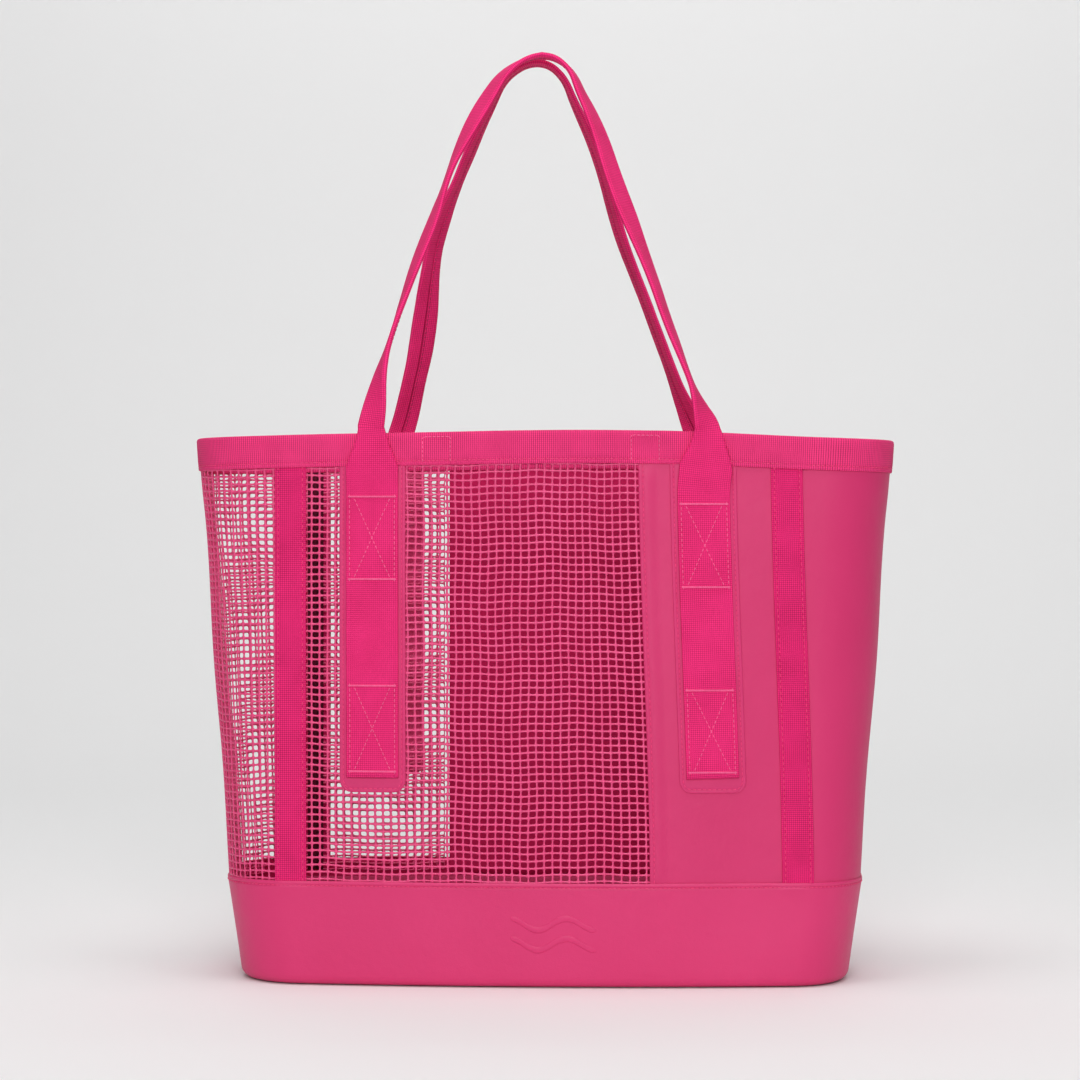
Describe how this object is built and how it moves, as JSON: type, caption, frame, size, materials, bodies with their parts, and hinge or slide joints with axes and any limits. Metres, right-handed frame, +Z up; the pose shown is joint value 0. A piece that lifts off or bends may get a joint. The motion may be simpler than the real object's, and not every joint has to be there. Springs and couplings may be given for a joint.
{
  "type": "beach tote bag",
  "caption": "Open tapered tote with part net, part coated-fabric walls, a smooth base band, a webbing-bound rim and long shoulder handles.",
  "frame": {"origin": "on the floor under the middle of the bag", "axes": "+Z up, +Y from the front wall to the back wall, +X to the right seen from the front"},
  "size_m": [0.5128, 0.1826, 0.684],
  "materials": {
    "net": "matt vinyl-coated open net",
    "coated_fabric": "smooth matt coated fabric",
    "webbing": "plain-woven webbing",
    "seam_tape": "dark woven seam tape",
    "board": "plain stiffener sheet",
    "lining": "coated lining"
  },
  "bodies": {
    "bag": {"front_mesh_panel": "net", "back_mesh_panel": "net", "left_side_mesh": "net", "front_solid_panel": "coated_fabric", "back_solid_panel": "coated_fabric", "right_side_panel": "coated_fabric", "base_band": "coated_fabric", "bottom_panel": "coated_fabric", "front_left_handle_patch": "coated_fabric", "front_right_handle_patch": "coated_fabric", "back_left_handle_patch": "coated_fabric", "back_right_handle_patch": "coated_fabric", "rim_binding": "webbing", "front_left_corner_strip": "webbing", "front_right_corner_strip": "webbing", "back_left_corner_strip": "webbing", "back_right_corner_strip": "webbing", "front_left_handle_leg": "webbing", "front_right_handle_leg": "webbing", "back_left_handle_leg": "webbing", "back_right_handle_leg": "webbing", "left_rim_tab": "webbing", "right_rim_tab": "webbing", "front_left_seam_tape": "seam_tape", "front_right_seam_tape": "seam_tape", "back_left_seam_tape": "seam_tape", "back_right_seam_tape": "seam_tape", "base_board": "board", "base_lining": "lining"},
    "front_handle": {"front_handle_loop": "webbing"},
    "back_handle": {"back_handle_loop": "webbing"}
  },
  "joints": [
    {"name": "front_handle_swing", "type": "hinge", "parent": "bag", "child": "front_handle", "pos_m": [0, -0.09155, 0.357], "axis": [1, 0, 0], "range_deg": [0, 178]},
    {"name": "back_handle_swing", "type": "hinge", "parent": "bag", "child": "back_handle", "pos_m": [0, 0.09155, 0.357], "axis": [-1, 0, 0], "range_deg": [0, 178]}
  ]
}
